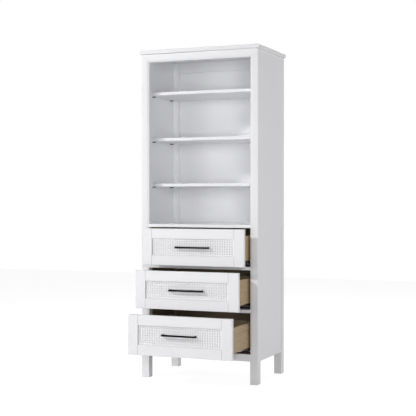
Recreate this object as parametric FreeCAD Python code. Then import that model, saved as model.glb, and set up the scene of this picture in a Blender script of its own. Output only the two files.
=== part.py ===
import FreeCAD, Part
import os

# Bathroom linen cabinet: an open shelf section over three drawers with woven fronts.
# Millimetres. Z is up, X runs to the right and Y to the back, as seen from the front.
# The origin lies on the floor, at the centre of the four posts.
# The drawers are drawn closed and then pulled out to their rest positions.

V = FreeCAD.Vector

# Overall size
TOTAL_WIDTH = 610.0
TOTAL_DEPTH = 385.0
TOTAL_HEIGHT = 1570.0
TOP_THICKNESS = 18.0
TOP_OVERHANG = 8.0              # at the front and the sides; the back is flush
EASED_EDGE = 1.0                # small chamfer on the edges that a hand meets

# Posts and front frame
POST = 38.0
TOP_RAIL_HEIGHT = 38.0
BEVEL_WIDTH = 11.0              # shallow bevel round the opening, on the face of the posts and top rail
BEVEL_DEPTH = 4.0               # the same bevel, on the inner edge
LEG_CLEAR = 107.0               # floor to the underside of the body
BOTTOM_RAIL_HEIGHT = 33.0
BOTTOM_RAIL_THICKNESS = 18.0
DRAWER_RAIL_HEIGHT = 15.0
DRAWER_RAIL_DEPTH = 50.0
TENON = 8.0                     # length of the stub tenons in the posts
TENON_SHOULDER = 3.0            # a tenon is this much smaller than its rail all round

# Sides, back and bottom
SIDE_PANEL_THICKNESS = 12.0
SIDE_REVEAL = 1.0               # the side panels lie this far behind the outer face of the posts
SIDE_RAIL_HEIGHT = 45.0
SIDE_RAIL_THICKNESS = 22.0
SIDE_TONGUE = 6.0               # thickness of the tongues on the edges of the side panels and rails
SIDE_GROOVE = 8.0               # depth of the grooves that hold these tongues
BACK_THICKNESS = 6.0
BACK_RABBET = 10.0              # how far the back panel laps over each rear post
REAR_RAIL_THICKNESS = 15.0
UPPER_REAR_RAIL_HEIGHT = 50.0
BOTTOM_THICKNESS = 12.0
BOTTOM_DROP = 7.0               # bottom panel's top below the bottom rail's top
BOTTOM_HOUSING = 6.0            # depth of the housings that hold the bottom panel

# Shelves
FIXED_SHELF_THICKNESS = 15.0
FIXED_SHELF_HOUSING = 4.0       # depth of the housings in the side panels
SHELF_THICKNESS = 15.0
SHELF_SETBACK = 60.0            # front of a shelf pushed right back, behind the face of the posts
SHELF_SIDE_CLEARANCE = 1.0
SHELF_BACK_CLEARANCE = 2.0
SHELF_NOTCH_CLEARANCE = 2.0
LOWEST_SPACE = 179.5            # clear height over the fixed shelf
TOP_SPACE = 141.0               # clear height from the upper shelf to the top rail
# Each lift-out shelf: its name, and how far it has been drawn forward on its pins
SHELVES = (
    ("shelf_lower", 4.5),
    ("shelf_middle", 0.0),
    ("shelf_upper", 16.0),
)
PIN_RADIUS = 2.5
PIN_DEPTH = 9.0
PIN_TAB_LENGTH = 15.0
PIN_TAB_WIDTH = 9.0
PIN_TAB_THICKNESS = 4.0
FRONT_PIN_SETBACK = 95.0        # from the front face of the posts
REAR_PIN_SETBACK = 77.0         # from the rear face of the posts

# Drawers, from the top down: name, height of the opening, distance pulled out at rest
DRAWERS = (
    ("drawer_upper", 179.5, 76.0),
    ("drawer_middle", 183.0, 146.0),
    ("drawer_lower", 191.0, 224.0),
)
FRONT_SIDE_GAP = 2.0
FRONT_TOP_GAP = 4.0
FRONT_BOTTOM_GAP = 2.0
FRONT_THICKNESS = 18.0
FRONT_STILE_WIDTH = 49.0
FRONT_RAIL_WIDTH = 47.0
FRONT_GROOVE = 8.0              # depth of the groove that holds the backing board
PANEL_RECESS = 6.0              # face of the weave behind the face of the front
BACKING_THICKNESS = 4.0
BOX_SIDE_GAP = 9.0              # box side to the inner face of a post
BOX_HEIGHT = 114.0
BOX_LIFT = 30.0                 # box side above the bottom of its opening
BOX_BOARD = 12.0
BOX_BOTTOM_THICKNESS = 6.0
BOX_BOTTOM_RISE = 13.0          # underside of the box bottom above the lower edge of the sides
BOX_GROOVE = 6.0

# Woven panel: flat diamond stakes stand upright, and strands zigzag across them
WEAVE_PITCH = 11.9
STAKE_WIDTH = 8.4
STRAND_WIDTH = 8.4
STRAND_THICKNESS = 1.0

# Bow pull of square bar
PULL_CENTRES = 160.0            # from the middle of one foot to the middle of the other
PULL_SECTION = 8.0
PULL_PROJECTION = 21.0          # front of the bar in front of the weave
PULL_DROP = 87.5                # middle of the bar below the upper edge of its front
PULL_CORNER = 1.5               # chamfer on the two outer corners
PULL_FOOT_CLEARANCE = 0.3       # round each foot, in the weave

# Concealed slides: three nested channels on each side of a drawer
SLIDE_END_CLEARANCE = 1.0       # rear end of a base member to the rear post
MIDDLE_SHORTER = 20.0           # a middle member is this much shorter than its base
RUNNER_WIDTH = 19.0
RUNNER_DEPTH = 19.0
RUNNER_SIDE_GAP = 1.0           # runner to the inner face of the box side
MIDDLE_DEPTH = 22.0
SHEET = 1.4
SLIDE_TOP_CLEARANCE = 0.3
SLIDE_FLANK_CLEARANCE = 0.5
BASE_DROP = 20.0                # web of the base member below the box side
BASE_FOOT = 6.0                 # flat foot of the base member on the side away from the cleat
BASE_FLANGE_RISE = 14.0         # flange on the cleat, above the lower edge of the box side
CLEAT_HEIGHT = 36.0
CLEAT_DROP = 16.0               # lower edge of a cleat below the box side
HOOK_RISE = 22.0                # hook at the rear end of a runner, behind the box back

# Values that follow from the sizes above
BODY_HALF = TOTAL_WIDTH / 2 - TOP_OVERHANG
BODY_DEPTH = TOTAL_DEPTH - TOP_OVERHANG
BODY_TOP = TOTAL_HEIGHT - TOP_THICKNESS
FRONT = -BODY_DEPTH / 2
BACK = BODY_DEPTH / 2
POST_INNER = BODY_HALF - POST
FRONT_POST_REAR = FRONT + POST
REAR_POST_FRONT = BACK - POST
SIDE_OUTER = BODY_HALF - SIDE_REVEAL
SIDE_INNER = SIDE_OUTER - SIDE_PANEL_THICKNESS
TONGUE_OUTER = SIDE_INNER + SIDE_TONGUE
BACK_FRONT = BACK - BACK_THICKNESS
BOTTOM_RAIL_TOP = LEG_CLEAR + BOTTOM_RAIL_HEIGHT
DRAWER_COUNT = len(DRAWERS)
OPENING_HEIGHTS = sum(height for name, height, pull in DRAWERS)
FIXED_SHELF_UNDER = BOTTOM_RAIL_TOP + OPENING_HEIGHTS + (DRAWER_COUNT - 1) * DRAWER_RAIL_HEIGHT
FIXED_SHELF_TOP = FIXED_SHELF_UNDER + FIXED_SHELF_THICKNESS
TOP_RAIL_UNDER = BODY_TOP - TOP_RAIL_HEIGHT
BOX_OUTER = POST_INNER - BOX_SIDE_GAP
BOX_INNER = BOX_OUTER - BOX_BOARD
BOX_FRONT = FRONT + FRONT_THICKNESS
SLIDE_LENGTH = REAR_POST_FRONT - FRONT_POST_REAR - SLIDE_END_CLEARANCE
MIDDLE_LENGTH = SLIDE_LENGTH - MIDDLE_SHORTER
BOX_BACK = BOX_FRONT + SLIDE_LENGTH     # a box is as long as its slides
FRONT_HALF = POST_INNER - FRONT_SIDE_GAP
PANEL_HALF = FRONT_HALF - FRONT_STILE_WIDTH
STAKE_COUNT = round(2 * PANEL_HALF / WEAVE_PITCH)
STAKE_PITCH = 2 * PANEL_HALF / STAKE_COUNT
WEAVE_SWING = STRAND_THICKNESS / 2 / (1 - STAKE_WIDTH / STAKE_PITCH)
STAKE_HALF_DEPTH = WEAVE_SWING - STRAND_THICKNESS / 2
WEAVE_DEPTH = 2 * WEAVE_SWING + STRAND_THICKNESS
WEAVE_MIDDLE = FRONT + PANEL_RECESS + WEAVE_DEPTH / 2
BACKING_FRONT = FRONT + PANEL_RECESS + WEAVE_DEPTH
BACKING_REAR = BACKING_FRONT + BACKING_THICKNESS
PULL_FRONT = FRONT + PANEL_RECESS - PULL_PROJECTION
PULL_OUTER = (PULL_CENTRES + PULL_SECTION) / 2
PULL_INNER = PULL_OUTER - PULL_SECTION
RUNNER_MIDDLE = BOX_INNER - RUNNER_SIDE_GAP - RUNNER_WIDTH / 2
BOX_FRONT_REAR = BOX_FRONT + BOX_BOARD


def block(x0, x1, y0, y1, z0, z1):
    """A plain rectangular piece between two corners."""
    return Part.makeBox(x1 - x0, y1 - y0, z1 - z0, V(x0, y0, z0))


def rod(radius, length, start, direction):
    return Part.makeCylinder(radius, length, start, direction)


def prism(points, sweep):
    """A closed outline of points swept along a vector."""
    outline = Part.makePolygon(points + points[:1])
    return Part.Face(outline).extrude(sweep)


def mirrored(shape):
    """The same piece on the other side of the cabinet."""
    return shape.mirror(V(0, 0, 0), V(1, 0, 0))


def both_sides(shapes):
    """Pieces on the right and their mirror images on the left, as separate solids."""
    return Part.makeCompound(shapes + [mirrored(shape) for shape in shapes])


def eased(shape, keep):
    """Chamfers the straight edges whose middle point passes the test."""
    edges = [edge for edge in shape.Edges if keep(edge.CenterOfMass)]
    return shape.makeChamfer(EASED_EDGE, edges)


def cut(shape, *tools):
    for tool in tools:
        shape = shape.cut(tool)
    return shape


def near(value, target):
    return abs(value - target) < 1e-6


def save(name, shape):
    shape.exportStep("parts/" + name + ".step")


# Rails between posts

def tenon(y0, y1, z0, z1):
    """The right-hand stub tenon of a rail that ends at the inner face of a post."""
    s = TENON_SHOULDER
    return block(POST_INNER, POST_INNER + TENON, y0 + s, y1 - s, z0 + s, z1 - s)


def rail_between_posts(y0, y1, z0, z1):
    right = tenon(y0, y1, z0, z1)
    return block(-POST_INNER, POST_INNER, y0, y1, z0, z1).fuse([right, mirrored(right)])


def drawer_rail_spans():
    """The heights of the rails under the upper and the middle drawer."""
    z = FIXED_SHELF_UNDER
    spans = []
    for name, height, pull in DRAWERS[:-1]:
        z = z - height - DRAWER_RAIL_HEIGHT
        spans.append((z, z + DRAWER_RAIL_HEIGHT))
    return spans


def front_rail_boxes():
    """Depth and height of each rail that is let into the front posts."""
    boxes = [(FRONT, FRONT + BOTTOM_RAIL_THICKNESS, LEG_CLEAR, BOTTOM_RAIL_TOP)]
    for z0, z1 in drawer_rail_spans():
        boxes.append((FRONT, FRONT_POST_REAR, z0, z1))
    return boxes


def rear_rail_boxes():
    y0 = BACK_FRONT - REAR_RAIL_THICKNESS
    upper = (y0, BACK_FRONT, BODY_TOP - UPPER_REAR_RAIL_HEIGHT, BODY_TOP)
    lower = (y0, BACK_FRONT, LEG_CLEAR, BOTTOM_RAIL_TOP)
    return [upper, lower]


# Posts

def side_groove(y0, y1):
    """The groove for the tongues of a side panel and a side rail, on the right."""
    return block(SIDE_INNER, TONGUE_OUTER, y0, y1, LEG_CLEAR, BODY_TOP)


def front_side_groove():
    return side_groove(FRONT_POST_REAR - SIDE_GROOVE, FRONT_POST_REAR)


def rear_side_groove():
    return side_groove(REAR_POST_FRONT, REAR_POST_FRONT + SIDE_GROOVE)


def side_board(z0, z1):
    """A board between the right-hand posts with a tongue at either end."""
    board = block(SIDE_INNER, SIDE_OUTER, FRONT_POST_REAR, REAR_POST_FRONT, z0, z1)
    y0, y1 = FRONT_POST_REAR - SIDE_GROOVE, REAR_POST_FRONT + SIDE_GROOVE
    return board.fuse(block(SIDE_INNER, TONGUE_OUTER, y0, y1, z0, z1)).removeSplitter()


def post_blank(y0):
    post = block(POST_INNER, BODY_HALF, y0, y0 + POST, 0, BODY_TOP)
    return eased(post, lambda p: near(p.x, BODY_HALF) and not near(p.z, BODY_TOP))


def mitre_waste():
    """The wedge over the mitre at the top of a right-hand front post."""
    corner = V(POST_INNER, FRONT, TOP_RAIL_UNDER)
    over = V(POST_INNER, FRONT, BODY_TOP)
    tip = V(BODY_HALF, FRONT, BODY_TOP)
    return prism([corner, tip, over], V(0, POST, 0))


def post_bevel():
    """The flat wedge taken off the inner front edge, above the bottom rail."""
    x, z = POST_INNER, BOTTOM_RAIL_TOP
    edge = [V(x, FRONT, z), V(x + BEVEL_WIDTH, FRONT, z), V(x, FRONT + BEVEL_DEPTH, z)]
    return prism(edge, V(0, 0, BODY_TOP - z))


def front_post():
    post = cut(post_blank(FRONT), mitre_waste(), post_bevel(), front_side_groove())
    return cut(post, *[tenon(*box) for box in front_rail_boxes()])


def rear_post():
    post = cut(post_blank(REAR_POST_FRONT), rear_side_groove())
    rabbet = block(POST_INNER, POST_INNER + BACK_RABBET, BACK_FRONT, BACK, LEG_CLEAR, BODY_TOP)
    return cut(post, rabbet, *[tenon(*box) for box in rear_rail_boxes()])


# Top and rails

def top_board():
    half = TOTAL_WIDTH / 2
    board = block(-half, half, BACK - TOTAL_DEPTH, BACK, BODY_TOP, TOTAL_HEIGHT)
    return eased(board, lambda p: not near(p.y, BACK))


def top_rail():
    """Mitred at both ends, with the bevel of the opening along its lower front edge."""
    z0, z1 = TOP_RAIL_UNDER, BODY_TOP
    face = [V(-POST_INNER, FRONT, z0), V(POST_INNER, FRONT, z0), V(BODY_HALF, FRONT, z1), V(-BODY_HALF, FRONT, z1)]
    rail = prism(face, V(0, POST, 0))
    x = -BODY_HALF
    edge = [V(x, FRONT, z0), V(x, FRONT + BEVEL_DEPTH, z0), V(x, FRONT, z0 + BEVEL_WIDTH)]
    groove = front_side_groove()
    return cut(rail, prism(edge, V(2 * BODY_HALF, 0, 0)), groove, mirrored(groove))


def bottom_panel_housing():
    z1 = BOTTOM_RAIL_TOP - BOTTOM_DROP
    x = SIDE_OUTER - SIDE_RAIL_THICKNESS + BOTTOM_HOUSING
    y0 = FRONT + BOTTOM_RAIL_THICKNESS - BOTTOM_HOUSING
    return block(-x, x, y0, BACK_FRONT - REAR_RAIL_THICKNESS, z1 - BOTTOM_THICKNESS, z1)


def bottom_panel():
    """Let into the bottom rail and the side rails, and notched round the posts."""
    panel = bottom_panel_housing()
    z0, z1 = panel.BoundBox.ZMin, panel.BoundBox.ZMax
    front_notch = block(POST_INNER, BODY_HALF, FRONT, FRONT_POST_REAR, z0, z1)
    rear_notch = block(POST_INNER, BODY_HALF, REAR_POST_FRONT, BACK, z0, z1)
    return cut(panel, front_notch, mirrored(front_notch), rear_notch, mirrored(rear_notch))


def bottom_rail():
    return cut(rail_between_posts(*front_rail_boxes()[0]), bottom_panel_housing())


def drawer_rails():
    """Two equal rails: the tenons are as deep as the posts, the rails reach a little further back."""
    rails = []
    for z0, z1 in drawer_rail_spans():
        behind = block(-POST_INNER, POST_INNER, FRONT_POST_REAR, FRONT + DRAWER_RAIL_DEPTH, z0, z1)
        rails.append(rail_between_posts(FRONT, FRONT_POST_REAR, z0, z1).fuse(behind).removeSplitter())
    return Part.makeCompound(rails)


# Sides and back

def side_rail():
    """The lower rail of the right side: thicker than the panel, which stands in a rabbet on it."""
    z0, z1 = LEG_CLEAR, LEG_CLEAR + SIDE_RAIL_HEIGHT
    inner = SIDE_OUTER - SIDE_RAIL_THICKNESS
    thick = block(inner, SIDE_INNER, FRONT_POST_REAR, REAR_POST_FRONT, z0, z1)
    rail = thick.fuse(side_board(z0, z1 - SIDE_GROOVE)).removeSplitter()
    return cut(rail, bottom_panel_housing())


def shelf_undersides():
    """The shelves between the lowest and the upper one share out the height evenly."""
    lowest = FIXED_SHELF_TOP + LOWEST_SPACE
    highest = TOP_RAIL_UNDER - TOP_SPACE - SHELF_THICKNESS
    steps = len(SHELVES) - 1
    return [lowest + (highest - lowest) * step / steps for step in range(steps + 1)]


def pin_columns():
    return (FRONT + FRONT_PIN_SETBACK, BACK - REAR_PIN_SETBACK)


def pin_hole(y, z):
    return rod(PIN_RADIUS, PIN_DEPTH, V(SIDE_INNER, y, z), V(1, 0, 0))


def pin_height(underside):
    """Height of a pin's axis: its plug and its tab both reach up to the shelf."""
    return underside - PIN_RADIUS


def side_panel():
    """The right side: held in grooves, with a housing for the fixed shelf and holes for the pins."""
    panel = side_board(LEG_CLEAR + SIDE_RAIL_HEIGHT - SIDE_GROOVE, BODY_TOP)
    holes = [pin_hole(y, pin_height(under)) for under in shelf_undersides() for y in pin_columns()]
    return cut(panel, fixed_shelf_blank(), Part.makeCompound(holes))


def back_panel():
    half = POST_INNER + BACK_RABBET
    return block(-half, half, BACK_FRONT, BACK, LEG_CLEAR, BODY_TOP)


# Shelves

def fixed_shelf_blank():
    """Between the posts at the front, and housed in the side panels behind them."""
    z0, z1 = FIXED_SHELF_UNDER, FIXED_SHELF_TOP
    nose = block(-POST_INNER, POST_INNER, FRONT, BACK_FRONT, z0, z1)
    half = SIDE_INNER + FIXED_SHELF_HOUSING
    wide = block(-half, half, FRONT_POST_REAR, REAR_POST_FRONT, z0, z1)
    return nose.fuse(wide).removeSplitter()


def fixed_shelf():
    lower_or_upper = lambda p: near(p.y, FRONT) and near(p.x, 0)
    return eased(fixed_shelf_blank(), lower_or_upper)


def lift_out_shelf(underside, forward):
    """Notched round the rear posts, with eased front edges."""
    half = SIDE_INNER - SHELF_SIDE_CLEARANCE
    y0, y1 = FRONT + SHELF_SETBACK, BACK_FRONT - SHELF_BACK_CLEARANCE
    shelf = block(-half, half, y0, y1, underside, underside + SHELF_THICKNESS)
    shelf = eased(shelf, lambda p: near(p.y, y0) and near(p.x, 0))
    c = SHELF_NOTCH_CLEARANCE
    notch = block(POST_INNER - c, half, REAR_POST_FRONT - c, y1, underside, underside + SHELF_THICKNESS)
    shelf = cut(shelf, notch, mirrored(notch))
    shelf.translate(V(0, -forward, 0))
    return shelf


def shelf_pin(y, underside):
    """A right-hand support: a plug in the side panel that carries a flat tab under the shelf."""
    x = SIDE_INNER
    half = PIN_TAB_WIDTH / 2
    tab = block(x - PIN_TAB_LENGTH, x, y - half, y + half, underside - PIN_TAB_THICKNESS, underside)
    return tab.fuse(pin_hole(y, pin_height(underside))).removeSplitter()


def shelf_pins():
    return both_sides([shelf_pin(y, under) for under in shelf_undersides() for y in pin_columns()])


# Drawer fronts

def front_stiles(z0, z1):
    """The stiles run the full height and are grooved for the backing board and the rails' tongues."""
    stile = block(PANEL_HALF, FRONT_HALF, FRONT, FRONT + FRONT_THICKNESS, z0, z1)
    stile = eased(stile, lambda p: near(p.y, FRONT) and not near(p.x, PANEL_HALF))
    groove = block(PANEL_HALF, PANEL_HALF + FRONT_GROOVE, BACKING_FRONT, BACKING_REAR, z0, z1)
    return both_sides([cut(stile, groove)])


def front_rail(z0, z1, eased_z, groove_z0):
    """A rail of the front, with a tongue at each end in the grooves of the stiles."""
    rail = block(-PANEL_HALF, PANEL_HALF, FRONT, FRONT + FRONT_THICKNESS, z0, z1)
    rail = eased(rail, lambda p: near(p.y, FRONT) and near(p.z, eased_z))
    long = PANEL_HALF + FRONT_GROOVE
    tongue = block(-long, long, BACKING_FRONT, BACKING_REAR, z0, z1)
    groove = block(-long, long, BACKING_FRONT, BACKING_REAR, groove_z0, groove_z0 + FRONT_GROOVE)
    return cut(rail.fuse(tongue), groove)


def front_rails(z0, z1):
    low_top = z0 + FRONT_RAIL_WIDTH
    high_under = z1 - FRONT_RAIL_WIDTH
    lower = front_rail(z0, low_top, z0, low_top - FRONT_GROOVE)
    upper = front_rail(high_under, z1, z1, high_under)
    return Part.makeCompound([lower, upper])


def panel_span(z0, z1):
    return z0 + FRONT_RAIL_WIDTH, z1 - FRONT_RAIL_WIDTH


def pull_span(front_top):
    """Lower and upper edge of the bar: all the bars hang equally far below the top of their fronts."""
    middle = front_top - PULL_DROP
    return middle - PULL_SECTION / 2, middle + PULL_SECTION / 2


def backing_board(z0, z1):
    low, high = panel_span(z0, z1)
    half = PANEL_HALF + FRONT_GROOVE
    return block(-half, half, BACKING_FRONT, BACKING_REAR, low - FRONT_GROOVE, high + FRONT_GROOVE)


# Woven panel

def stake_positions():
    return [-PANEL_HALF + STAKE_PITCH * (step + 0.5) for step in range(STAKE_COUNT)]


def stake(x, low, high):
    """An upright with a flat diamond section, so that strands lie snugly on either side of it."""
    half = STAKE_WIDTH / 2
    section = [
        V(x - half, WEAVE_MIDDLE, low),
        V(x, WEAVE_MIDDLE - STAKE_HALF_DEPTH, low),
        V(x + half, WEAVE_MIDDLE, low),
        V(x, WEAVE_MIDDLE + STAKE_HALF_DEPTH, low),
    ]
    return prism(section, V(0, 0, high - low))


def strand(z, first_side):
    """A strand that passes in front of and behind the stakes in turn."""
    path = [(-PANEL_HALF, WEAVE_MIDDLE)]
    side = first_side
    for x in stake_positions():
        path.append((x, WEAVE_MIDDLE + side * WEAVE_SWING))
        side = -side
    path.append((PANEL_HALF, WEAVE_MIDDLE))
    half = STRAND_THICKNESS / 2
    low = z - STRAND_WIDTH / 2
    face = [V(x, y - half, low) for x, y in path]
    rear = [V(x, y + half, low) for x, y in reversed(path)]
    return prism(face + rear, V(0, 0, STRAND_WIDTH))


def foot_clearance(front_top):
    """The hole in the weave round the right-hand foot of the pull."""
    low, high = pull_span(front_top)
    c = PULL_FOOT_CLEARANCE
    return block(PULL_INNER - c, PULL_OUTER + c, FRONT, BACKING_FRONT, low - c, high + c)


def woven_panel(z0, z1):
    """Stakes and strands, cleared where the feet of the pull pass through."""
    low, high = panel_span(z0, z1)
    rows = round((high - low) / WEAVE_PITCH)
    row_pitch = (high - low) / rows
    strips = [stake(x, low, high) for x in stake_positions()]
    for row in range(rows):
        strips.append(strand(low + row_pitch * (row + 0.5), 1 if row % 2 else -1))
    right = foot_clearance(z1)
    cleared = []
    for strip in strips:
        for foot in (right, mirrored(right)):
            if strip.BoundBox.intersect(foot.BoundBox):
                strip = strip.cut(foot)
        cleared += strip.Solids
    return Part.makeCompound(cleared)


# Pull

def pull(front_top):
    """A square bar with a foot at each end that stands on the backing board."""
    low, high = pull_span(front_top)
    c = PULL_CORNER
    right_half = [
        (PULL_OUTER - c, PULL_FRONT),
        (PULL_OUTER, PULL_FRONT + c),
        (PULL_OUTER, BACKING_FRONT),
        (PULL_INNER, BACKING_FRONT),
        (PULL_INNER, PULL_FRONT + PULL_SECTION),
    ]
    left_half = [(-x, y) for x, y in reversed(right_half)]
    outline = [V(x, y, low) for x, y in right_half + left_half]
    return prism(outline, V(0, 0, high - low))


# Drawer boxes

def box_bottom_blank(lift):
    z0 = lift + BOX_BOTTOM_RISE
    half = BOX_INNER + BOX_GROOVE
    front = BOX_FRONT_REAR - BOX_GROOVE
    return block(-half, half, front, BOX_BACK, z0, z0 + BOX_BOTTOM_THICKNESS)


def box_sides(lift):
    side = block(BOX_INNER, BOX_OUTER, BOX_FRONT, BOX_BACK, lift, lift + BOX_HEIGHT)
    side = eased(side, lambda p: near(p.z, lift + BOX_HEIGHT) and near(p.y, (BOX_FRONT + BOX_BACK) / 2))
    return both_sides([cut(side, box_bottom_blank(lift))])


def box_front(lift):
    board = block(-BOX_INNER, BOX_INNER, BOX_FRONT, BOX_FRONT_REAR, lift, lift + BOX_HEIGHT)
    return cut(board, box_bottom_blank(lift))


def box_back(lift):
    """Stands on the box bottom, so that the runners can pass under it."""
    z0 = lift + BOX_BOTTOM_RISE + BOX_BOTTOM_THICKNESS
    return block(-BOX_INNER, BOX_INNER, BOX_BACK - BOX_BOARD, BOX_BACK, z0, lift + BOX_HEIGHT)


# Slides

def channel(width, depth, top, y0, length):
    """A channel with its open side down, centred on the line of the right-hand runner."""
    x0, x1 = RUNNER_MIDDLE - width / 2, RUNNER_MIDDLE + width / 2
    z0 = top - depth
    section = [
        V(x0, y0, z0),
        V(x0, y0, top),
        V(x1, y0, top),
        V(x1, y0, z0),
        V(x1 - SHEET, y0, z0),
        V(x1 - SHEET, y0, top - SHEET),
        V(x0 + SHEET, y0, top - SHEET),
        V(x0 + SHEET, y0, z0),
    ]
    return prism(section, V(0, length, 0))


def nested_width(steps):
    """Width of a channel that lies inside the runner, counted inwards."""
    return RUNNER_WIDTH - 2 * steps * (SHEET + SLIDE_FLANK_CLEARANCE)


def nested_top(lift, steps):
    return lift + BOX_BOTTOM_RISE - steps * (SHEET + SLIDE_TOP_CLEARANCE)


def slide_runners(lift):
    """Under the box bottom, each with a hook that stands up behind the box back."""
    y0 = BOX_FRONT_REAR
    runner = channel(RUNNER_WIDTH, RUNNER_DEPTH, nested_top(lift, 0), y0, BOX_BACK - y0 + SHEET)
    x0, x1 = RUNNER_MIDDLE - RUNNER_WIDTH / 2, RUNNER_MIDDLE + RUNNER_WIDTH / 2
    hook = block(x0, x1, BOX_BACK, BOX_BACK + SHEET, nested_top(lift, 0), lift + HOOK_RISE)
    return both_sides([runner.fuse(hook).removeSplitter()])


def slide_middles(lift):
    middle = channel(nested_width(1), MIDDLE_DEPTH, nested_top(lift, 1), FRONT_POST_REAR, MIDDLE_LENGTH)
    return both_sides([middle])


def slide_base(lift):
    """The right-hand base: a hat-shaped track, a flat web below it and a flange on the cleat."""
    y = FRONT_POST_REAR
    half = nested_width(2) / 2
    x0, x1 = RUNNER_MIDDLE - half, RUNNER_MIDDLE + half
    top = nested_top(lift, 2)
    web = lift - BASE_DROP
    wall = POST_INNER
    flange = lift + BASE_FLANGE_RISE
    outline = [
        V(x0 - BASE_FOOT, y, web - SHEET),
        V(x0 - BASE_FOOT, y, web),
        V(x0, y, web),
        V(x0, y, top),
        V(x1, y, top),
        V(x1, y, web),
        V(wall - SHEET, y, web),
        V(wall - SHEET, y, flange),
        V(wall, y, flange),
        V(wall, y, web - SHEET),
        V(x1 - SHEET, y, web - SHEET),
        V(x1 - SHEET, y, top - SHEET),
        V(x0 + SHEET, y, top - SHEET),
        V(x0 + SHEET, y, web - SHEET),
    ]
    return prism(outline, V(0, SLIDE_LENGTH, 0))


def slide_cleat(lift):
    """The right-hand strip of wood between the posts that carries a base member."""
    z0 = lift - CLEAT_DROP
    return block(POST_INNER, SIDE_INNER, FRONT_POST_REAR, REAR_POST_FRONT, z0, z0 + CLEAT_HEIGHT)


# Drawer positions

def drawer_layout():
    """For each drawer: name, front's lower and upper edge, lower edge of the box, distance pulled out."""
    rows = []
    z = FIXED_SHELF_UNDER
    for name, height, pulled in DRAWERS:
        floor = z - height
        rows.append((name, floor + FRONT_BOTTOM_GAP, z - FRONT_TOP_GAP, floor + BOX_LIFT, pulled))
        z = floor - DRAWER_RAIL_HEIGHT
    return rows


def drawer_pieces(z0, z1, lift):
    """Every piece of one drawer in its closed position."""
    return {
        "front_stiles": front_stiles(z0, z1),
        "front_rails": front_rails(z0, z1),
        "backing_board": backing_board(z0, z1),
        "woven_panel": woven_panel(z0, z1),
        "pull": pull(z1),
        "box_sides": box_sides(lift),
        "box_front": box_front(lift),
        "box_back": box_back(lift),
        "box_bottom": box_bottom_blank(lift),
        "slide_runners": slide_runners(lift),
    }


def save_drawers():
    for name, z0, z1, lift, pulled in drawer_layout():
        for piece, shape in drawer_pieces(z0, z1, lift).items():
            save(name + "_" + piece, shape.translated(V(0, -pulled, 0)))
        middles = slide_middles(lift)
        save(name + "_slide_middles", middles.translated(V(0, -pulled / 2, 0)))


def save_cabinet():
    sided = {
        "post_front": front_post(),
        "post_rear": rear_post(),
        "side_panel": side_panel(),
        "side_rail": side_rail(),
    }
    for name, right in sided.items():
        save(name + "_right", right)
        save(name + "_left", mirrored(right))
    lifts = [lift for name, z0, z1, lift, pulled in drawer_layout()]
    save("top_board", top_board())
    save("top_rail", top_rail())
    save("bottom_rail", bottom_rail())
    save("drawer_rails", drawer_rails())
    for name, box in zip(("rear_rail_upper", "rear_rail_lower"), rear_rail_boxes()):
        save(name, rail_between_posts(*box))
    save("back_panel", back_panel())
    save("bottom_panel", bottom_panel())
    save("fixed_shelf", fixed_shelf())
    for (name, forward), underside in zip(SHELVES, shelf_undersides()):
        save(name, lift_out_shelf(underside, forward))
    save("shelf_pins", shelf_pins())
    save("slide_cleats", both_sides([slide_cleat(lift) for lift in lifts]))
    save("slide_bases", both_sides([slide_base(lift) for lift in lifts]))


os.makedirs("parts", exist_ok=True)
save_cabinet()
save_drawers()
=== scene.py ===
import math
import random
from collections import namedtuple

import bpy
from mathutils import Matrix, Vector


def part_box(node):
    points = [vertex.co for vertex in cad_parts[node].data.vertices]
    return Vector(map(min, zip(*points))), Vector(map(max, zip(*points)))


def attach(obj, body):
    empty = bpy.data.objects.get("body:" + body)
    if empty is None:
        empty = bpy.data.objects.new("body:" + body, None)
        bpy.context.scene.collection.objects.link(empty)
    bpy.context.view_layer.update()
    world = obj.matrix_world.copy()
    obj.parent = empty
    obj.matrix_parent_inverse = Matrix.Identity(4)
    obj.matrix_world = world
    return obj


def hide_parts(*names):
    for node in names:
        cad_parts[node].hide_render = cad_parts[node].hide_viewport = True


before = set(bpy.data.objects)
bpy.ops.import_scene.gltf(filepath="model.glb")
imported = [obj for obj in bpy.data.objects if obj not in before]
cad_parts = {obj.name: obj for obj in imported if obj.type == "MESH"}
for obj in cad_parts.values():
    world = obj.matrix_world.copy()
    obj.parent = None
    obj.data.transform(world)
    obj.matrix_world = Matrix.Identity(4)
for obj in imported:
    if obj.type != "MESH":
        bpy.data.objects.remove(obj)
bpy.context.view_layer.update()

# Looks of the bathroom linen cabinet. Metres, in the frame of the solids:
# Z up, X to the right and Y to the back, origin on the floor between the four posts.

DRAWERS = ("drawer_upper", "drawer_middle", "drawer_lower")

# Camera, fitted to the edges of the cabinet in the photograph
CAMERA_PLACE = (1.8897, -4.5862, 0.85765)
CAMERA_PITCH = math.radians(89.497)
CAMERA_TURN = math.radians(22.717)
CAMERA_LENS = 88.0
CAMERA_SENSOR = 36.0

# Lamps
# The key lamp stands where the shadows on the right post and on the shelf edges come from.
# Its beam is aimed at the foot, so that the legs get nearly as much light as the top.
KEY_PLACE = (-2.69, -2.83, 2.545)
KEY_TARGET = (0.0, 0.0, 0.0)
KEY_POWER = 33.8
KEY_SIZE = 0.34
KEY_SPREAD = math.radians(110.0)
FILL_PLACE = (2.12, -4.15, 1.14)
FILL_POWER = 69.5
LEFT_PLACE = (-1.6, -4.4, 1.15)
LEFT_POWER = 26.0
SOFT_BOX_SIZE = 1.4
SIDE_PLACE = (3.8, 0.8, 1.3)
SIDE_POWER = 40.5
BACK_PLACE = (-0.1, 2.6, 3.4)
BACK_POWER = 75.0
LARGE_BOX_SIZE = 2.0
WIDE_SPREAD = math.radians(180.0)
CABINET_MIDDLE = (0.0, 0.0, 0.90)

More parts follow.
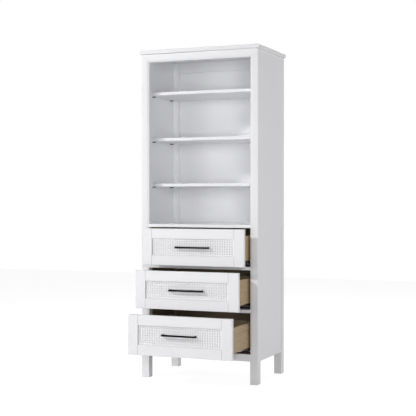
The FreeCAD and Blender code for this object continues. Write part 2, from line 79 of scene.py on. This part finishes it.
# Sky and floor
# Seen directly both glow, which makes the ground of the picture white. The floor keeps a share of
# the light that falls on it, so that a faint shadow shows.
SKY_COLOUR = (1.0, 1.0, 1.0)
SKY_SEEN = 1.0
SKY_STRENGTH = 0.05
FLOOR_HALF = 6.0
FLOOR_DROP = 0.0004
FLOOR_ALBEDO = (0.75, 0.75, 0.76)
FLOOR_GLOW = 1.16
FLOOR_GLOW_SHARE = 0.82

# Colours, linear
WHITE = (0.813, 0.812, 0.830)
# Painted light: a paler copy of the white for the inside of the open section, standing in for more light
# there.
INNER_LIT_WHITE = (0.937, 0.939, 0.955)
WEAVE_WHITE = (0.895, 0.893, 0.905)
# Painted shade: the board behind the weave is dark grey, so that the gaps of the weave read as shadowed.
BACKING_SHADE_GREY = (0.24, 0.24, 0.245)
JOINT_AND_SHADE_GREY = (0.26, 0.26, 0.265)
WOOD_PALE = (0.425, 0.316, 0.188)
WOOD_MID = (0.34, 0.242, 0.136)
WOOD_DARK = (0.23, 0.152, 0.076)
OUTER_WOOD_SHARE = 1.0
# Painted shade: the drawer box's inner faces, ends and bottom get this darker copy of the wood.
INNER_WOOD_SHADE_SHARE = 0.55
BOARD_PALE = (0.34, 0.255, 0.17)
BOARD_DARK = (0.22, 0.165, 0.104)
BLACK = (0.003, 0.003, 0.0035)
BLACK_PALE = (0.007, 0.007, 0.0075)
STEEL = (0.50, 0.50, 0.51)
STEEL_PALE = (0.62, 0.62, 0.63)
PIN_METAL = (0.03, 0.03, 0.032)
PIN_PALE = (0.06, 0.06, 0.063)

# Textures: noise with its scale to the metre. Along the grain only the drawn share of the scale is left.
Texture = namedtuple("Texture", "scale detail roughness distortion drawn", defaults=(3.0, 0.55, 0.0, 1.0))
PAINT_GRAIN = Texture(130.0, detail=5.0, roughness=0.6, distortion=0.4, drawn=0.06)
PAINT_CLOUD = Texture(7.0)
PAINT_SPRAY = Texture(1300.0, detail=2.0)
CANE_RIDGES = Texture(900.0, drawn=0.04)
GROWTH_LINES = Texture(75.0, detail=4.0, distortion=1.2, drawn=0.05)
WOOD_FIBRES = Texture(900.0, roughness=0.6, drawn=0.02)
WOOD_PORES = Texture(1600.0, detail=1.0, drawn=0.06)
BOARD_FLECKS = Texture(700.0, detail=4.0, roughness=0.7)
BOARD_GRIT = Texture(500.0, detail=4.0)
COAT_PEBBLE = Texture(2600.0, detail=2.0)
ROLLING_MARKS = Texture(700.0, drawn=0.03)
TEXTURE_RANGE = (0.3, 0.7)

# Tones: places in the range of a texture, each with the share of the colour that it gets
GRAIN_TONES = ((0.25, 0.975), (0.75, 1.012))
CLOUD_TONES = ((0.3, 0.985), (0.7, 1.01))
CLOUD_SHARE = 0.5
RIDGE_TONES = ((0.12, 0.93), (0.42, 1.02))
FIBRE_TONES = ((0.35, 0.80), (0.65, 1.08))
FIBRE_SHARE = 0.38

# Places in the range of a texture where one colour follows the other
# A new place starts in the middle of the ramp, and is then moved.
RAMP_MIDDLE = 0.5
BAND_PLACES = (0.28, 0.42, 0.52, 0.62, 0.8)
PORE_PLACES = (0.30, 0.36)
PORE_SHADE = 0.8
PORE_SHARE = 0.35
NO_PORE = (1.0, 1.0, 1.0)
FLECK_PLACES = (0.35, 0.65)
PEBBLE_PLACES = (0.35, 0.65)
ROLLING_PLACES = (0.3, 0.7)

# Finishes: the range of roughness, the sheen, and reliefs as strength and depth
PAINT_ROUGHNESS = (0.36, 0.46)
PAINT_SHEEN = 0.42
GRAIN_RELIEF = (0.10, 0.0003)
SPRAY_RELIEF = (0.06, 0.0001)
CANE_ROUGHNESS = (0.45, 0.6)
CANE_SHEEN = 0.35
RIDGE_RELIEF = (0.25, 0.0003)
WOOD_ROUGHNESS = (0.42, 0.58)
WOOD_SHEEN = 0.35
FIBRE_RELIEF = (0.12, 0.0003)
BOARD_ROUGHNESS = (0.7, 0.85)
GRIT_RELIEF = (0.2, 0.0003)
COAT_ROUGHNESS = (0.52, 0.64)
COAT_SHEEN = 0.1
PEBBLE_RELIEF = (0.22, 0.0002)
METAL_ROUGHNESS = (0.28, 0.45)
ROLLING_RELIEF = (0.08, 0.0002)

# Inner faces of the cabinet and of the drawer boxes
# Between the fixed shelf and the bottom panel the sides, rear posts and back are bare board inside,
# whose dark tone also stands in for the shade in the drawer section.
FACE_SLACK = 0.0005
FRONT_FACING = -0.8
BARE_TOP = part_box("fixed_shelf")[0].z
BARE_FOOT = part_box("bottom_panel")[0].z
SIDE_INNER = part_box("side_panel_right")[0].x + FACE_SLACK
BACK_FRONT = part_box("back_panel")[0].y + FACE_SLACK
POST_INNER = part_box("post_front_right")[0].x + FACE_SLACK
FRONT_POST_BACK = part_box("post_front_right")[1].y - FACE_SLACK
REAR_POST_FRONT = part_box("post_rear_right")[0].y + FACE_SLACK
TOP_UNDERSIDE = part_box("top_board")[0].z + FACE_SLACK
RAIL_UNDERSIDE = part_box("top_rail")[0].z + FACE_SLACK
BOX_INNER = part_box("drawer_upper_box_front")[1].x + FACE_SLACK

# Joint lines, where two painted boards meet; the line under the top board is also painted shade
JOINT_WIDTH = 0.0011
STILE_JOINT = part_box("drawer_upper_woven_panel")[1].x
TOP_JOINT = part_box("top_board")[0].z

# Weave
# The strips bend through a share of the panel's depth, and the strands lie a little behind the stakes.
# The section of a strip is in shares of its width and thickness.
WEAVE_PITCH = 0.01189
STRIP_THICKNESS = 0.0015
STAKE_SHARE = 0.75
STRAND_SHARE = 0.50
STRIP_BEND = 0.3
STRAND_SINK = 0.0004
STEPS_PER_CROSSING = 6
STRIP_SECTION = (
    (-0.50, -0.10), (-0.47, 0.22), (-0.34, 0.42), (0.0, 0.50),
    (0.34, 0.42), (0.47, 0.22), (0.50, -0.10), (0.0, -0.50),
)
WEAVE_SEED = 11
STRIP_WANDER = 0.00006
FORWARD = Vector((0, -1, 0))
UPWARD = Vector((0, 0, 1))
LEFTWARD = Vector((-1, 0, 0))

# Soft edges on the boards
WELD = 0.00001
EDGE_SEGMENTS = 2
EDGE_RADIUS = 0.0006
FRAME_RADIUS = 0.0009
FRAME_PIECES = ("post_front_right", "post_front_left", "top_rail")
FRONT_RADIUS = 0.0012
FRONT_PIECES = ("front_stiles", "front_rails")

# Screws of the pulls, seen inside the drawers. The section is in shares of the radius and the height.
SCREW_RADIUS = 0.0045
SCREW_HEIGHT = 0.0028
SCREW_SIDES = 24
SCREW_SECTION = (
    (1.0, 0.0), (1.0, 0.35), (0.93, 0.68), (0.72, 0.92),
    (0.45, 1.0), (0.30, 1.0), (0.24, 0.45),
)


# Shader building blocks

def colour(rgb):
    """The colour, fully opaque."""
    return (*rgb, 1.0)


def shade(rgb, share):
    return tuple(channel * share for channel in rgb)


class Shader:
    """A material's node tree with short ways to add nodes and link them."""

    def __init__(self, name):
        self.material = bpy.data.materials.new(name)
        self.material.use_nodes = True
        self.tree = self.material.node_tree
        self.surface = self.tree.nodes["Principled BSDF"]

    def add(self, kind, **settings):
        """A new node. A setting is the value of a socket or else of a property."""
        node = self.tree.nodes.new(kind)
        for key, value in settings.items():
            if key in node.inputs:
                node.inputs[key].default_value = value
            else:
                setattr(node, key, value)
        return node

    def link(self, output, target):
        self.tree.links.new(output, target)

    def feed(self, socket, value):
        """Gives a socket a constant or the output of another node."""
        if isinstance(value, bpy.types.NodeSocket):
            self.link(value, socket)
        else:
            socket.default_value = value

    def set(self, name, value):
        self.feed(self.surface.inputs[name], value)

    def coordinates(self, kind="Object"):
        """X, Y and Z of the place on the piece, or of the direction that it faces."""
        source = self.add("ShaderNodeTexCoord")
        parts = self.add("ShaderNodeSeparateXYZ")
        self.link(source.outputs[kind], parts.inputs["Vector"])
        return parts.outputs

    def noise(self, texture, axis=None):
        """A texture in the coordinates of the piece, with its grain along one axis."""
        source = self.add("ShaderNodeTexCoord")
        stretch = tuple(texture.drawn if letter == axis else 1.0 for letter in "XYZ")
        mapping = self.add("ShaderNodeMapping", Scale=stretch)
        self.link(source.outputs["Object"], mapping.inputs["Vector"])
        node = self.add(
            "ShaderNodeTexNoise", Scale=texture.scale, Detail=texture.detail,
            Roughness=texture.roughness, Distortion=texture.distortion,
        )
        self.link(mapping.outputs["Vector"], node.inputs["Vector"])
        return node.outputs["Fac"]

    def ramp(self, factor, places, colours):
        """Colours that follow each other at the given places of the factor."""
        node = self.add("ShaderNodeValToRGB")
        elements = node.color_ramp.elements
        while len(elements) < len(places):
            elements.new(RAMP_MIDDLE)
        for element, place, rgb in zip(elements, places, colours):
            element.position = place
            element.color = colour(rgb)
        self.link(factor, node.inputs["Fac"])
        return node.outputs["Color"]

    def tones(self, factor, rgb, stops):
        """Shares of one colour, each given as (place, share)."""
        places = [place for place, share in stops]
        return self.ramp(factor, places, [shade(rgb, share) for place, share in stops])

    def span(self, factor, low, high, source=TEXTURE_RANGE):
        """The factor, moved from its own range to the one from low to high."""
        node = self.add("ShaderNodeMapRange")
        node.inputs["From Min"].default_value = source[0]
        node.inputs["From Max"].default_value = source[1]
        node.inputs["To Min"].default_value = low
        node.inputs["To Max"].default_value = high
        self.link(factor, node.inputs["Value"])
        return node.outputs["Result"]

    def mix(self, factor, first, second, blend="MIX"):
        node = self.add("ShaderNodeMix", data_type="RGBA", blend_type=blend)
        self.feed(node.inputs["Factor"], factor)
        self.link(first, node.inputs["A"])
        self.link(second, node.inputs["B"])
        return node.outputs["Result"]

    def maths(self, operation, first, second):
        node = self.add("ShaderNodeMath", operation=operation)
        for socket, value in zip(node.inputs, (first, second)):
            self.feed(socket, value)
        return node.outputs["Value"]

    def bump(self, height, strength, depth, below=None):
        node = self.add("ShaderNodeBump", Strength=strength, Distance=depth)
        self.link(height, node.inputs["Height"])
        if below is not None:
            self.link(below, node.inputs["Normal"])
        return node.outputs["Normal"]

    def finish(self, texture, roughness, relief):
        """Roughness and relief that follow one texture."""
        self.set("Roughness", self.span(texture, *roughness))
        self.set("Normal", self.bump(texture, *relief))


def within(shader, tests):
    """One where any of the tests holds, and zero elsewhere. X is measured to both sides of the middle."""
    place = shader.coordinates()
    found = None
    for axis, side, limit in tests:
        value = shader.maths("ABSOLUTE", place["X"], 0.0) if axis == "X" else place[axis]
        face = shader.maths(side, value, limit)
        found = face if found is None else shader.maths("MAXIMUM", found, face)
    return found


def seen_directly(shader):
    """One for rays from the camera, a mirror or glass, and zero for light on the object."""
    path = shader.add("ShaderNodeLightPath")
    mirror = shader.maths("MAXIMUM", path.outputs["Is Glossy Ray"], path.outputs["Is Transmission Ray"])
    return shader.maths("MAXIMUM", path.outputs["Is Camera Ray"], mirror)


# Painted boards

def paint_tone(shader, rgb, axis):
    """Satin paint on wood: faint grain and a little unevenness."""
    grain = shader.tones(shader.noise(PAINT_GRAIN, axis), rgb, GRAIN_TONES)
    cloud = shader.tones(shader.noise(PAINT_CLOUD), rgb, CLOUD_TONES)
    return shader.mix(CLOUD_SHARE, grain, cloud)


def painted(shader, tone, axis):
    """The tone with the sheen of the paint, the grain under it and the fine sprayed surface."""
    shader.set("Base Color", tone)
    shader.set("Roughness", shader.span(shader.noise(PAINT_CLOUD), *PAINT_ROUGHNESS))
    shader.set("Specular IOR Level", PAINT_SHEEN)
    grain = shader.bump(shader.noise(PAINT_GRAIN, axis), *GRAIN_RELIEF)
    shader.set("Normal", shader.bump(shader.noise(PAINT_SPRAY), *SPRAY_RELIEF, below=grain))
    return shader.material


def joint_and_shade_line(shader, line, tone, axis):
    """The tone with a dark hairline where the board meets another, which under the top board is also
    painted shade.
    """
    return shader.mix(line, tone, paint_tone(shader, JOINT_AND_SHADE_GREY, axis))


def paint_material(name, axis, rgb=WHITE):
    shader = Shader(name)
    return painted(shader, paint_tone(shader, rgb, axis), axis)


def front_rail_material():
    """Paint with a hairline at the ends of the rails."""
    shader = Shader("white_paint_front_rail")
    line = within(shader, [("X", "GREATER_THAN", STILE_JOINT - JOINT_WIDTH / 2)])
    return painted(shader, joint_and_shade_line(shader, line, paint_tone(shader, WHITE, "X"), "X"), "X")


def stile_material(drawer):
    """Paint with a hairline where the rails meet the stile, above and below the woven panel."""
    shader = Shader("white_paint_stile_" + drawer)
    low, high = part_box(drawer + "_woven_panel")
    edge = within(shader, [("X", "LESS_THAN", STILE_JOINT + JOINT_WIDTH / 2)])
    at_rails = within(shader, [("Z", "LESS_THAN", low.z), ("Z", "GREATER_THAN", high.z)])
    line = shader.maths("MULTIPLY", edge, at_rails)
    return painted(shader, joint_and_shade_line(shader, line, paint_tone(shader, WHITE, "Z"), "Z"), "Z")


def shelf_material():
    """Painted light: the paler white of the open section, with the outer paint on the front edge."""
    shader = Shader("white_paint_shelf")
    front = shader.maths("LESS_THAN", shader.coordinates("Normal")["Y"], FRONT_FACING)
    inner = paint_tone(shader, INNER_LIT_WHITE, "X")
    outer = paint_tone(shader, WHITE, "X")
    return painted(shader, shader.mix(front, inner, outer), "X")


def lined_material(name, axis, inner_faces, bare=False, top_joint_and_shade=False):
    """Paint outside, and painted light on the inner faces of the open section: a paler white there.

    In the drawer section the inner faces are painted, or bare board whose dark tone also stands in
    for the shade there. A piece that meets the top board has a dark hairline at the joint, which also
    stands in for the shade under the board's overhang.
    """
    shader = Shader(name)
    height = shader.coordinates()["Z"]
    outer = paint_tone(shader, WHITE, axis)
    # A dark hairline under the top board: a joint, and painted shade of the board's overhang.
    if top_joint_and_shade:
        line = within(shader, [("Z", "GREATER_THAN", TOP_JOINT - JOINT_WIDTH)])
        outer = joint_and_shade_line(shader, line, outer, axis)
    below = outer
    # Bare board in the drawer section; its dark tone also stands in for the shade there.
    if bare:
        above_legs = shader.maths("GREATER_THAN", height, BARE_FOOT)
        below = shader.mix(above_legs, outer, board_tone(shader))
    # Painted light: the inner faces of the open section get the paler white.
    in_open_section = shader.maths("GREATER_THAN", height, BARE_TOP)
    painted_light_inside = shader.mix(in_open_section, below, paint_tone(shader, INNER_LIT_WHITE, axis))
    return painted(shader, shader.mix(within(shader, inner_faces), outer, painted_light_inside), axis)


def weave_material():
    """Paint over strips of cane, with fine ridges both ways."""
    shader = Shader("woven_paint")
    ridge_x = shader.noise(CANE_RIDGES, "X")
    ridge_z = shader.noise(CANE_RIDGES, "Z")
    ridges = shader.maths("MULTIPLY", ridge_x, ridge_z)
    shader.set("Base Color", shader.tones(ridges, WEAVE_WHITE, RIDGE_TONES))
    shader.set("Roughness", shader.span(ridge_x, *CANE_ROUGHNESS))
    shader.set("Specular IOR Level", CANE_SHEEN)
    shader.set("Normal", shader.bump(ridges, *RIDGE_RELIEF))
    return shader.material


# Wood, board and metal

def wood_tone(shader, axis, share):
    """Growth lines along the board, fine fibres and short pores."""
    pale, mid, dark = shade(WOOD_PALE, share), shade(WOOD_MID, share), shade(WOOD_DARK, share)
    bands = shader.ramp(shader.noise(GROWTH_LINES, axis), BAND_PLACES, (dark, mid, pale, mid, pale))
    threads = shader.tones(shader.noise(WOOD_FIBRES, axis), pale, FIBRE_TONES)
    body = shader.mix(FIBRE_SHARE, bands, threads)
    pores = (shade(WOOD_DARK, PORE_SHADE), NO_PORE)
    marks = shader.ramp(shader.noise(WOOD_PORES, axis), PORE_PLACES, pores)
    return shader.mix(PORE_SHARE, body, marks, "MULTIPLY")


def lacquered(shader, tone, axis):
    """The tone with the sheen of a clear finish over the fibres."""
    shader.set("Base Color", tone)
    shader.set("Specular IOR Level", WOOD_SHEEN)
    shader.finish(shader.noise(WOOD_FIBRES, axis), WOOD_ROUGHNESS, FIBRE_RELIEF)
    return shader.material


def wood_material(name, axis, share):
    """Clear-finished wood."""
    shader = Shader(name)
    return lacquered(shader, wood_tone(shader, axis, share), axis)


def box_side_material():
    """Clear-finished wood, with painted shade: a darker copy of the wood on the faces inside the drawer.
    """
    shader = Shader("drawer_wood_side")
    inside = within(shader, [("X", "LESS_THAN", BOX_INNER)])
    outer = wood_tone(shader, "Y", OUTER_WOOD_SHARE)
    inner = wood_tone(shader, "Y", INNER_WOOD_SHADE_SHARE)
    return lacquered(shader, shader.mix(inside, outer, inner), "Y")


def board_tone(shader):
    """Bare pressed board: fine brown flecks."""
    return shader.ramp(shader.noise(BOARD_FLECKS), FLECK_PLACES, (BOARD_DARK, BOARD_PALE))


def raw_board_material():
    """Bare pressed board with a gritty surface."""
    shader = Shader("raw_board")
    shader.set("Base Color", board_tone(shader))
    shader.finish(shader.noise(BOARD_GRIT), BOARD_ROUGHNESS, GRIT_RELIEF)
    return shader.material


def powder_coat_material():
    """Matt black coat with a fine pebbled surface."""
    shader = Shader("black_metal")
    pebble = shader.noise(COAT_PEBBLE)
    shader.set("Base Color", shader.ramp(pebble, PEBBLE_PLACES, (BLACK, BLACK_PALE)))
    shader.set("Specular IOR Level", COAT_SHEEN)
    shader.finish(pebble, COAT_ROUGHNESS, PEBBLE_RELIEF)
    return shader.material


def metal_material(name, dark, pale, axis):
    """Plated sheet metal with rolling marks along one axis."""
    shader = Shader(name)
    rolled = shader.noise(ROLLING_MARKS, axis)
    shader.set("Base Color", shader.ramp(rolled, ROLLING_PLACES, (dark, pale)))
    shader.set("Metallic", 1.0)
    shader.finish(rolled, METAL_ROUGHNESS, ROLLING_RELIEF)
    return shader.material


# Pieces that keep the shape of their solids

def dress(node, material):
    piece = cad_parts[node]
    piece.data.materials.clear()
    piece.data.materials.append(material)
    return piece


def soften(piece, radius):
    """Rounds the edges a little, so that they catch the light."""
    weld = piece.modifiers.new("weld", "WELD")
    weld.merge_threshold = WELD
    bevel = piece.modifiers.new("edges", "BEVEL")
    bevel.width = radius
    bevel.segments = EDGE_SEGMENTS
    bevel.limit_method = "ANGLE"
    bevel.harden_normals = True


def cabinet_finishes(level, steel):
    """The material of each piece of the cabinet."""
    post_inner = ("X", "LESS_THAN", POST_INNER)
    front_post_back = ("Y", "GREATER_THAN", FRONT_POST_BACK)
    rear_post_front = ("Y", "LESS_THAN", REAR_POST_FRONT)
    side_inner = ("X", "LESS_THAN", SIDE_INNER)
    back_front = ("Y", "LESS_THAN", BACK_FRONT)
    top_underside = ("Z", "LESS_THAN", TOP_UNDERSIDE)
    rail_underside = ("Z", "LESS_THAN", RAIL_UNDERSIDE)
    front_post_faces = [post_inner, front_post_back]
    rear_post_faces = [post_inner, rear_post_front]
    rail_faces = [front_post_back, rail_underside]
    # Painted light: the paler white inside the open section.
    inner = paint_material("inner_lit_white", "X", INNER_LIT_WHITE)
    shelf = shelf_material()
    front_post = lined_material("white_paint_front_post", "Z", front_post_faces, top_joint_and_shade=True)
    rear_post = lined_material("white_paint_rear_post", "Z", rear_post_faces, bare=True, top_joint_and_shade=True)
    side = lined_material("white_paint_side", "Z", [side_inner], bare=True, top_joint_and_shade=True)
    back = lined_material("white_paint_back", "Z", [back_front], bare=True)
    top = lined_material("white_paint_top", "X", [top_underside])
    rail = lined_material("white_paint_top_rail", "X", rail_faces, top_joint_and_shade=True)
    board = raw_board_material()
    plated = metal_material("pin_metal", PIN_METAL, PIN_PALE, "X")
    return {
        "post_front_right": front_post, "post_front_left": front_post,
        "post_rear_right": rear_post, "post_rear_left": rear_post,
        "side_panel_right": side, "side_panel_left": side,
        "side_rail_right": side, "side_rail_left": side,
        "top_board": top, "top_rail": rail, "bottom_rail": level, "drawer_rails": level,
        "rear_rail_upper": inner, "rear_rail_lower": level,
        "fixed_shelf": inner, "shelf_lower": shelf, "shelf_middle": shelf, "shelf_upper": shelf,
        "back_panel": back, "bottom_panel": board, "slide_cleats": board,
        "slide_bases": steel, "shelf_pins": plated,
    }


def dress_cabinet(level, steel):
    for node, material in cabinet_finishes(level, steel).items():
        radius = FRAME_RADIUS if node in FRAME_PIECES else EDGE_RADIUS
        soften(dress(node, material), radius)


def dress_drawers(steel):
    # Painted shade: the box ends and bottom take the darker copy of the wood.
    ends = wood_material("drawer_wood_end", "X", INNER_WOOD_SHADE_SHARE)
    finishes = {
        "front_rails": front_rail_material(),
        # Painted shade: the board behind the weave is dark grey.
        "backing_board": paint_material("backing_painted_shade", "X", BACKING_SHADE_GREY),
        "pull": powder_coat_material(),
        "box_sides": box_side_material(),
        "box_front": ends,
        "box_back": ends,
        "box_bottom": wood_material("drawer_ply", "X", INNER_WOOD_SHADE_SHARE),
        "slide_runners": steel,
        "slide_middles": steel,
    }
    for drawer in DRAWERS:
        finishes["front_stiles"] = stile_material(drawer)
        for piece, material in finishes.items():
            radius = FRONT_RADIUS if piece in FRONT_PIECES else EDGE_RADIUS
            soften(dress(drawer + "_" + piece, material), radius)


# Pieces with a shape of their own

def add_piece(name, verts, faces, material, body):
    """A piece that is only seen, and rides on one of the bodies."""
    mesh = bpy.data.meshes.new(name)
    mesh.from_pydata(verts, [], faces)
    mesh.validate()
    for polygon in mesh.polygons:
        polygon.use_smooth = True
    mesh.materials.append(material)
    piece = bpy.data.objects.new(name, mesh)
    bpy.context.scene.collection.objects.link(piece)
    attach(piece, body)
    return piece


# Screws of the pulls

def screw_head(verts, faces, x, y, z):
    """Adds one round head, with a ring of points for each point of its section."""
    rings = []
    for radius_share, rise in SCREW_SECTION:
        rings.append(len(verts))
        radius = radius_share * SCREW_RADIUS
        for step in range(SCREW_SIDES):
            turn = 2 * math.pi * step / SCREW_SIDES
            across = x + radius * math.cos(turn)
            verts.append((across, y + rise * SCREW_HEIGHT, z + radius * math.sin(turn)))
    for ring, after in zip(rings, rings[1:]):
        for step in range(SCREW_SIDES):
            following = (step + 1) % SCREW_SIDES
            faces.append((ring + following, ring + step, after + step, after + following))
    faces.append(tuple(range(rings[0], rings[0] + SCREW_SIDES)))
    faces.append(tuple(range(rings[-1] + SCREW_SIDES - 1, rings[-1] - 1, -1)))


def pull_screws(drawer, material):
    """The two round heads on the inner face of the drawer box, behind the feet of the pull."""
    low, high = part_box(drawer + "_pull")
    height = (low.z + high.z) / 2
    reach = high.x - (high.z - low.z) / 2
    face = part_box(drawer + "_box_front")[1].y
    verts, faces = [], []
    for x in (-reach, reach):
        screw_head(verts, faces, x, face, height)
    add_piece(drawer + "_pull_screws", verts, faces, material, drawer)


# Woven panels

def strip(verts, faces, points, width, across):
    """Adds one closed strip: its section follows the points."""
    first = len(verts)
    count = len(STRIP_SECTION)
    for point in points:
        for share, rise in STRIP_SECTION:
            verts.append(point + across * (share * width) + FORWARD * (rise * STRIP_THICKNESS))
    for step in range(len(points) - 1):
        ring = first + step * count
        after = ring + count
        for corner in range(count):
            following = (corner + 1) % count
            faces.append((ring + corner, ring + following, after + following, after + corner))
    last = first + (len(points) - 1) * count
    faces.append(tuple(range(first + count - 1, first - 1, -1)))
    faces.append(tuple(range(last, last + count)))


def crossing_wave(position, pitch, parity):
    """Swings between one and minus one from one crossing to the next."""
    wave = math.cos(math.pi * (position / pitch - 0.5))
    return wave if parity % 2 == 0 else -wave


def woven_panel(drawer, draw, material):
    """Strands across and stakes upright, which pass over and under each other."""
    low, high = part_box(drawer + "_woven_panel")
    columns = round((high.x - low.x) / WEAVE_PITCH)
    rows = round((high.z - low.z) / WEAVE_PITCH)
    pitch_x = (high.x - low.x) / columns
    pitch_z = (high.z - low.z) / rows
    swing = STRIP_BEND * (high.y - low.y - STRIP_THICKNESS) / 2
    middle = (low.y + high.y) / 2
    verts, faces = [], []
    for row in range(rows):
        z = low.z + (row + 0.5) * pitch_z + draw.uniform(-STRIP_WANDER, STRIP_WANDER)
        points = []
        for step in range(columns * STEPS_PER_CROSSING + 1):
            x = step * pitch_x / STEPS_PER_CROSSING
            y = middle + STRAND_SINK - swing * crossing_wave(x, pitch_x, row)
            points.append(Vector((low.x + x, y, z)))
        strip(verts, faces, points, pitch_z * STRAND_SHARE, UPWARD)
    for column in range(columns):
        x = low.x + (column + 0.5) * pitch_x + draw.uniform(-STRIP_WANDER, STRIP_WANDER)
        points = []
        for step in range(rows * STEPS_PER_CROSSING + 1):
            z = step * pitch_z / STEPS_PER_CROSSING
            y = middle + swing * crossing_wave(z, pitch_z, column)
            points.append(Vector((x, y, low.z + z)))
        strip(verts, faces, points, pitch_x * STAKE_SHARE, LEFTWARD)
    piece = add_piece(drawer + "_weave", verts, faces, material, drawer)
    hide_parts(drawer + "_woven_panel")


# Stage

def floor_material():
    """A matt floor that mostly glows where it is seen directly."""
    shader = Shader("floor")
    shader.set("Base Color", colour(FLOOR_ALBEDO))
    shader.set("Roughness", 1.0)
    shader.set("Specular IOR Level", 0.0)
    glow = shader.add("ShaderNodeEmission", Strength=FLOOR_GLOW)
    blend = shader.add("ShaderNodeMixShader")
    shader.link(shader.maths("MULTIPLY", seen_directly(shader), FLOOR_GLOW_SHARE), blend.inputs["Fac"])
    shader.link(shader.surface.outputs["BSDF"], blend.inputs[1])
    shader.link(glow.outputs["Emission"], blend.inputs[2])
    shader.link(blend.outputs["Shader"], shader.tree.nodes["Material Output"].inputs["Surface"])
    return shader.material


def make_floor():
    mesh = bpy.data.meshes.new("floor")
    half = FLOOR_HALF
    corners = [(-half, -half), (half, -half), (half, half), (-half, half)]
    mesh.from_pydata([(x, y, -FLOOR_DROP) for x, y in corners], [], [(0, 1, 2, 3)])
    mesh.materials.append(floor_material())
    floor = bpy.data.objects.new("floor", mesh)
    bpy.context.scene.collection.objects.link(floor)


class WorldShader(Shader):
    """The same short ways for the world's node tree."""

    def __init__(self, world):
        world.use_nodes = True
        self.tree = world.node_tree
        self.surface = self.tree.nodes["Background"]


def make_world():
    """White where it is seen directly, and a weak light on the object."""
    world = bpy.data.worlds.new("studio")
    bpy.context.scene.world = world
    shader = WorldShader(world)
    shader.set("Color", colour(SKY_COLOUR))
    shader.set("Strength", shader.span(seen_directly(shader), SKY_STRENGTH, SKY_SEEN, (0.0, 1.0)))


def lamp(name, place, target, power, size, spread=WIDE_SPREAD):
    """A square lamp aimed at a point."""
    light = bpy.data.lights.new(name, "AREA")
    light.energy = power
    light.size = size
    light.spread = spread
    piece = bpy.data.objects.new(name, light)
    piece.location = place
    piece.rotation_mode = "QUATERNION"
    piece.rotation_quaternion = (Vector(target) - Vector(place)).to_track_quat("-Z", "Y")
    bpy.context.scene.collection.objects.link(piece)


def make_lights():
    lamp("key", KEY_PLACE, KEY_TARGET, KEY_POWER, KEY_SIZE, KEY_SPREAD)
    lamp("fill", FILL_PLACE, CABINET_MIDDLE, FILL_POWER, SOFT_BOX_SIZE)
    lamp("left", LEFT_PLACE, CABINET_MIDDLE, LEFT_POWER, SOFT_BOX_SIZE)
    lamp("side", SIDE_PLACE, CABINET_MIDDLE, SIDE_POWER, LARGE_BOX_SIZE)
    lamp("back", BACK_PLACE, CABINET_MIDDLE, BACK_POWER, LARGE_BOX_SIZE)


def make_camera():
    data = bpy.data.cameras.new("camera")
    data.sensor_width = CAMERA_SENSOR
    data.lens = CAMERA_LENS
    camera = bpy.data.objects.new("camera", data)
    camera.location = CAMERA_PLACE
    camera.rotation_euler = (CAMERA_PITCH, 0.0, CAMERA_TURN)
    bpy.context.scene.collection.objects.link(camera)
    bpy.context.scene.camera = camera


level = paint_material("white_paint_level", "X")
steel = metal_material("slide_steel", STEEL, STEEL_PALE, "Y")
dress_cabinet(level, steel)
dress_drawers(steel)
weave = weave_material()
for number, drawer in enumerate(DRAWERS):
    woven_panel(drawer, random.Random(WEAVE_SEED + number), weave)
    pull_screws(drawer, steel)
make_floor()
make_world()
make_lights()
make_camera()
bpy.context.scene.view_settings.view_transform = "Standard"
